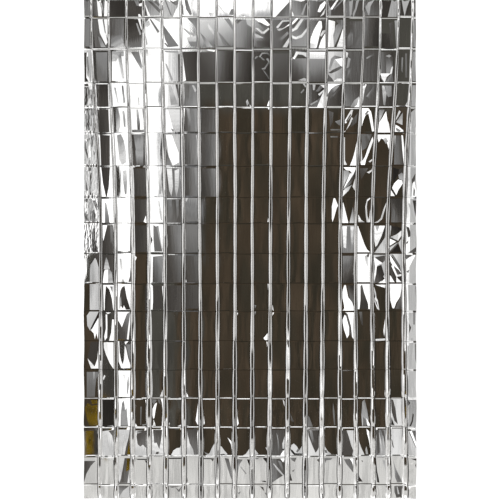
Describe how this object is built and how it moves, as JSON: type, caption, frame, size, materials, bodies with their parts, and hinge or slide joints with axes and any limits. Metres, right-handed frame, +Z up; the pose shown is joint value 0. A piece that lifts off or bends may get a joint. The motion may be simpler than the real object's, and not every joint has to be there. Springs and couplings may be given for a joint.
{
  "type": "emergency foil blanket",
  "caption": "Emergency blanket: a thin metallised film sheet laid out flat, with its packing folds standing up as a grid of ridges.",
  "frame": {"origin": "on the surface that the sheet lies on, under the middle of its outline", "axes": "+Y along the sheet's length to the end whose folds are lowest, +X across it, +Z up off the surface"},
  "size_m": [1.4, 2.1, 0.0113],
  "materials": {
    "foil": "polished, finely creased"
  },
  "bodies": {
    "root": {"foil_blanket": "foil"}
  },
  "joints": []
}
